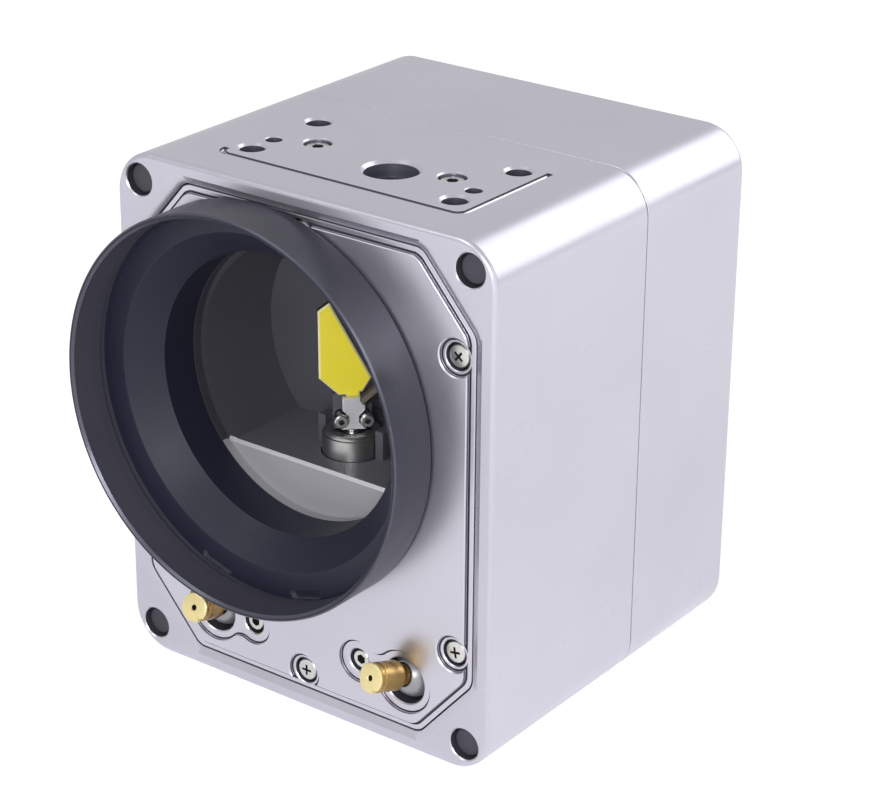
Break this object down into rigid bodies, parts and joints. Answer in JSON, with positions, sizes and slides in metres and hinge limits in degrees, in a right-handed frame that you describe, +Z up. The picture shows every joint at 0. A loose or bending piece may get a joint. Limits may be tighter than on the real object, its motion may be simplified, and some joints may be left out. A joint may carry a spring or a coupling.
{
  "type": "galvo scanner head",
  "caption": "Two-axis mirror scanner head: metal housing with a threaded lens ring in front, beam entry hole on top, aiming pointers below and connectors at the back.",
  "frame": {"origin": "centre of the flat bottom face of the housing", "axes": "+Z up, -Y out of the lens ring, +X to the right seen from the front"},
  "size_m": [0.102, 0.11, 0.116],
  "materials": {
    "black_anodised": "black anodised, satin",
    "black_plastic": "moulded",
    "brass": "machined",
    "bright_steel": "machined",
    "circuit_board": "green solder mask",
    "copper_wire": "enamelled wire",
    "dark_plug": "matt",
    "gold_coating": "yellow reflecting coat",
    "grey_anodised": "dark grey anodised",
    "magnet": "plated",
    "painted_silver": "satin silver",
    "rubber": "matt"
  },
  "bodies": {
    "head": {"board_bracket": "painted_silver", "corner_plug_1": "dark_plug", "corner_plug_2": "dark_plug", "corner_plug_3": "dark_plug", "corner_plug_4": "dark_plug", "front_cover": "painted_silver", "front_cover_screw_1": "bright_steel", "front_cover_screw_2": "bright_steel", "front_cover_screw_3": "bright_steel", "front_cover_screw_4": "bright_steel", "front_cover_screw_5": "bright_steel", "front_housing": "painted_silver", "housing_seal": "rubber", "interface_board": "circuit_board", "lens_ring": "black_anodised", "motor_mount": "grey_anodised", "mount_screw_1": "bright_steel", "mount_screw_2": "bright_steel", "pointer_lock_screw_left": "bright_steel", "pointer_lock_screw_right": "bright_steel", "power_connector_body": "bright_steel", "power_connector_insert": "black_plastic", "rear_cover": "painted_silver", "signal_connector_insert": "black_plastic", "signal_connector_shell": "bright_steel", "x_coil": "copper_wire", "x_driver_board": "circuit_board", "x_front_bearing": "bright_steel", "x_motor_body": "bright_steel", "x_rear_bearing": "bright_steel", "x_sensor_board": "circuit_board", "x_sensor_housing": "black_plastic", "y_coil": "copper_wire", "y_driver_board": "circuit_board", "y_front_bearing": "bright_steel", "y_motor_body": "bright_steel", "y_rear_bearing": "bright_steel", "y_sensor_board": "circuit_board", "y_sensor_housing": "black_plastic"},
    "y_rotor": {"y_shaft": "bright_steel", "y_magnet": "magnet", "y_sensor_vane": "bright_steel", "y_mirror_holder": "grey_anodised", "y_mirror": "gold_coating", "y_mirror_clamp": "bright_steel", "y_clamp_screw_1": "bright_steel", "y_clamp_screw_2": "bright_steel"},
    "x_rotor": {"x_shaft": "bright_steel", "x_magnet": "magnet", "x_sensor_vane": "bright_steel", "x_mirror_holder": "grey_anodised", "x_mirror": "gold_coating", "x_mirror_clamp": "bright_steel", "x_clamp_screw_1": "bright_steel", "x_clamp_screw_2": "bright_steel"},
    "pointer_right": {"pointer_barrel_right": "brass", "pointer_ball_right": "bright_steel"},
    "pointer_left": {"pointer_barrel_left": "brass", "pointer_ball_left": "bright_steel"}
  },
  "joints": [
    {"name": "y_mirror_turn", "type": "hinge", "parent": "head", "child": "y_rotor", "pos_m": [-0.0084, -0.0179, 0.0684], "axis": [0, 0, 1], "range_deg": [-12, 12]},
    {"name": "x_mirror_turn", "type": "hinge", "parent": "head", "child": "x_rotor", "pos_m": [0.0056, -0.0224, 0.0684], "axis": [0, 1, 0], "range_deg": [-12, 12]},
    {"name": "pointer_right_aim", "type": "hinge", "parent": "head", "child": "pointer_right", "pos_m": [0.0264, -0.0407, 0.0153], "axis": [1, 0, 0], "range_deg": [-2, 2]},
    {"name": "pointer_left_aim", "type": "hinge", "parent": "head", "child": "pointer_left", "pos_m": [-0.0249, -0.0407, 0.0152], "axis": [1, 0, 0], "range_deg": [-2, 2]}
  ]
}
